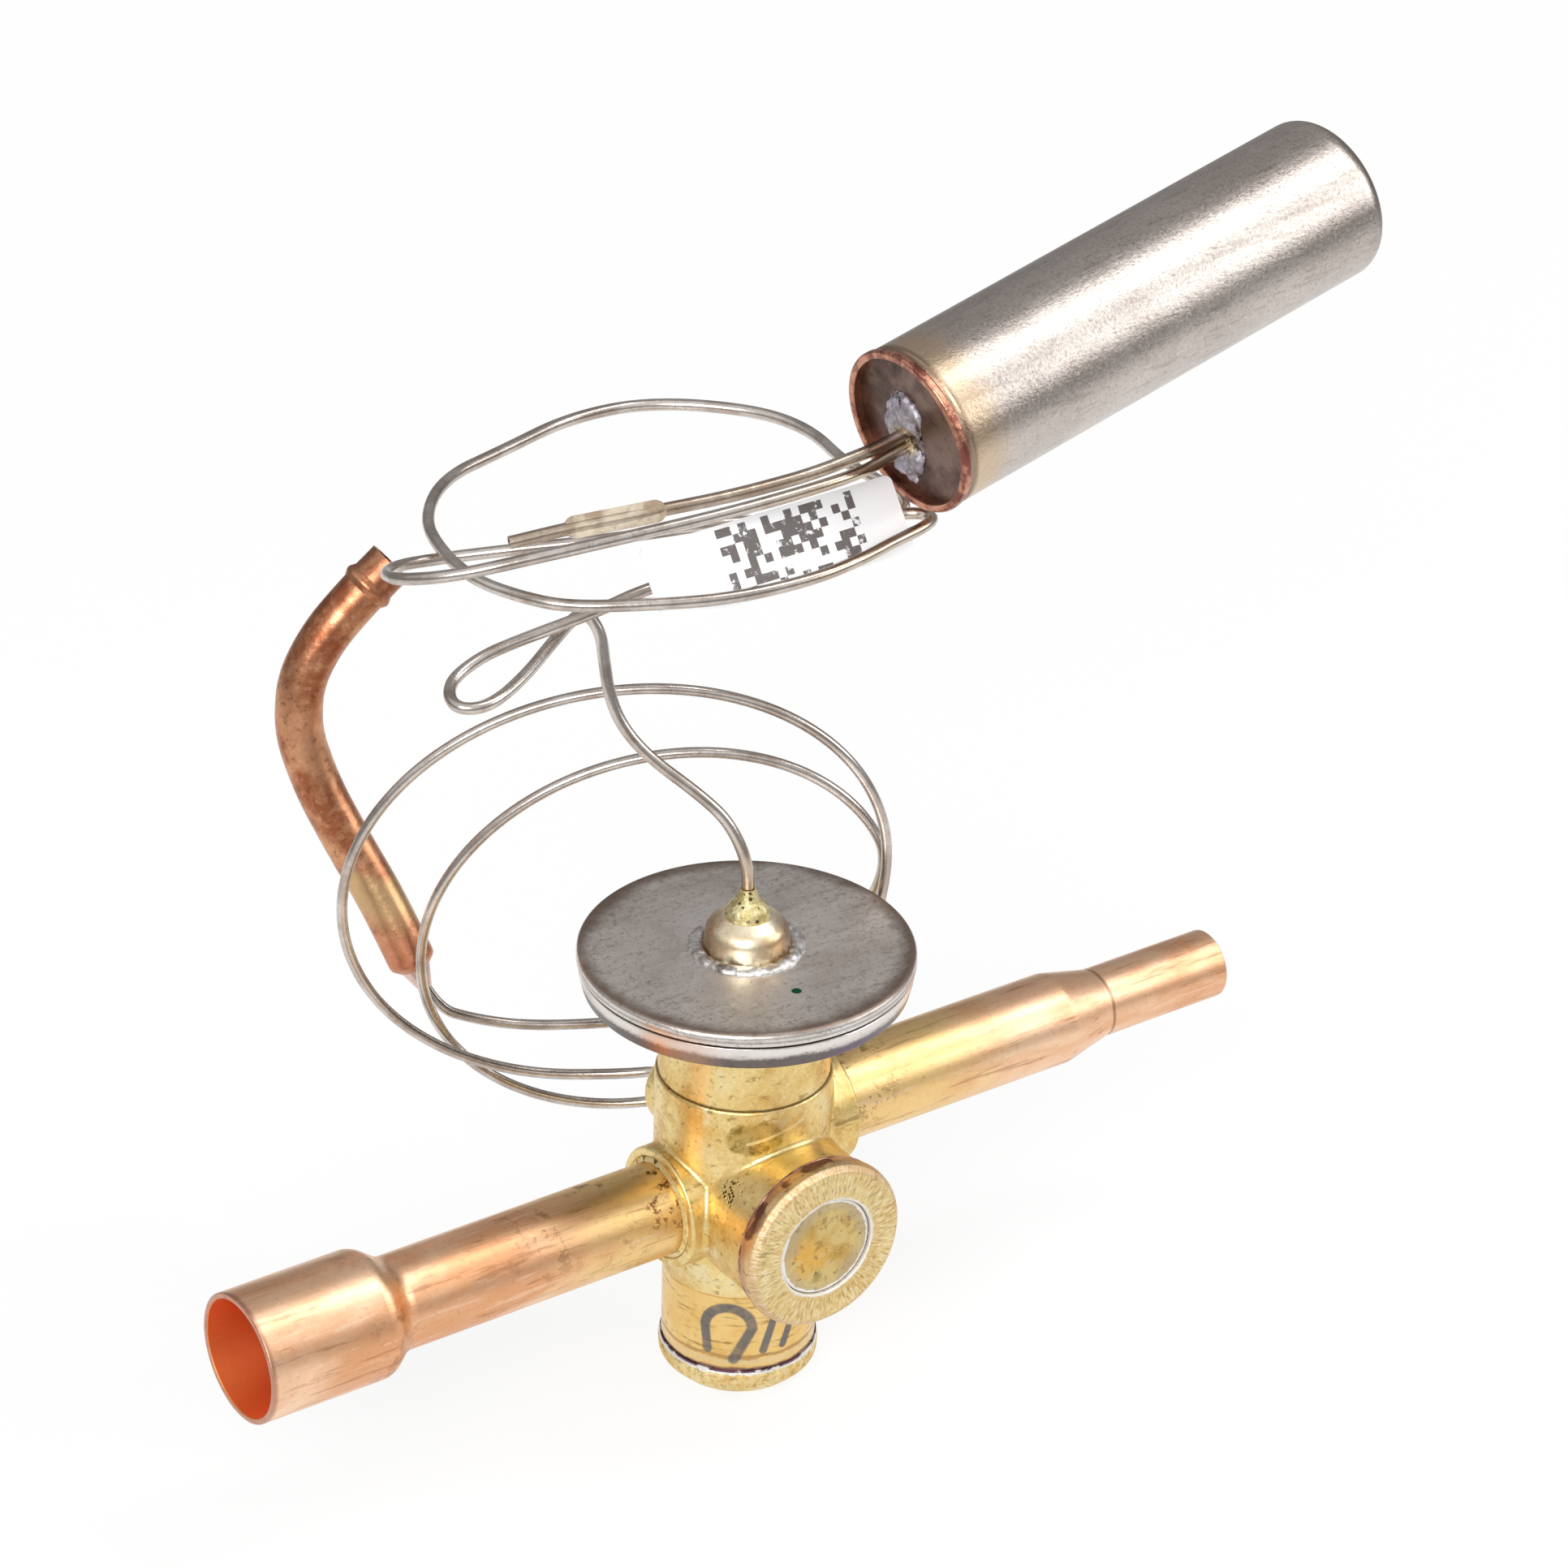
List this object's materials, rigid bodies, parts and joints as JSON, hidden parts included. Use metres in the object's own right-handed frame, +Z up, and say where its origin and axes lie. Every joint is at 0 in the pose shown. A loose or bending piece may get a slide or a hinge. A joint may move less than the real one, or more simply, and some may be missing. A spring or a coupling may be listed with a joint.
{
  "type": "thermostatic expansion valve",
  "caption": "Brass expansion valve with copper tubes, a steel power head, a sensing bulb on a coiled capillary, an external equaliser line and an internal check valve.",
  "frame": {"origin": "centre of the flat underside of the bottom cap, on the valve's stem axis", "axes": "+Z up the stem towards the power head, +X out of the outlet tube, -X out of the inlet tube, -Y towards the front boss and +Y towards the equaliser boss"},
  "size_m": [0.176, 0.0818, 0.1548],
  "materials": {
    "brass": "satin",
    "silver_braze": "satin",
    "spring_steel": "satin",
    "bright_steel": "satin",
    "packing": "matte",
    "head_steel": "satin",
    "weld_metal": "rough",
    "copper": "satin",
    "capillary_steel": "satin",
    "bulb_steel": "satin",
    "label_film": "satin"
  },
  "bodies": {
    "valve": {"valve_body": "brass", "bottom_cap": "brass", "bottom_braze": "silver_braze", "adjusting_nut": "brass", "superheat_spring": "spring_steel", "seat_insert": "bright_steel", "rod_packing": "packing", "packing_retainer": "brass", "lower_shell": "head_steel", "diaphragm": "spring_steel", "upper_shell": "head_steel", "head_dome": "bright_steel", "dome_weld": "weld_metal", "dome_solder": "silver_braze", "boss_braze": "copper", "boss_ring": "brass", "boss_plug": "brass", "check_seat": "brass", "check_cage": "brass", "inlet_tube": "copper", "inlet_braze": "silver_braze", "outlet_tube": "copper", "outlet_braze": "silver_braze", "equaliser_capillary": "capillary_steel", "equaliser_braze": "silver_braze", "equaliser_stub": "copper", "stub_solder": "silver_braze", "bulb_shell": "bulb_steel", "bulb_end_plate": "bulb_steel", "bulb_solder": "weld_metal", "bulb_capillary": "capillary_steel", "charging_stub": "capillary_steel", "capillary_label": "label_film"},
    "pin_group": {"valve_pin": "bright_steel", "pin_carrier": "brass", "push_rod": "bright_steel", "buffer_plate": "bright_steel"},
    "check_ball": {"check_ball": "bright_steel"}
  },
  "joints": [
    {"name": "pin_slide", "type": "slide", "parent": "valve", "child": "pin_group", "axis": [0, 0, 1], "range_m": [-0.0009, 0], "stiffness_N_per_m": 20000, "springref_m": 0.002, "deforming": ["superheat_spring"]},
    {"name": "check_slide", "type": "slide", "parent": "valve", "child": "check_ball", "axis": [0, 1, 0], "range_m": [0, 0.0012]}
  ]
}
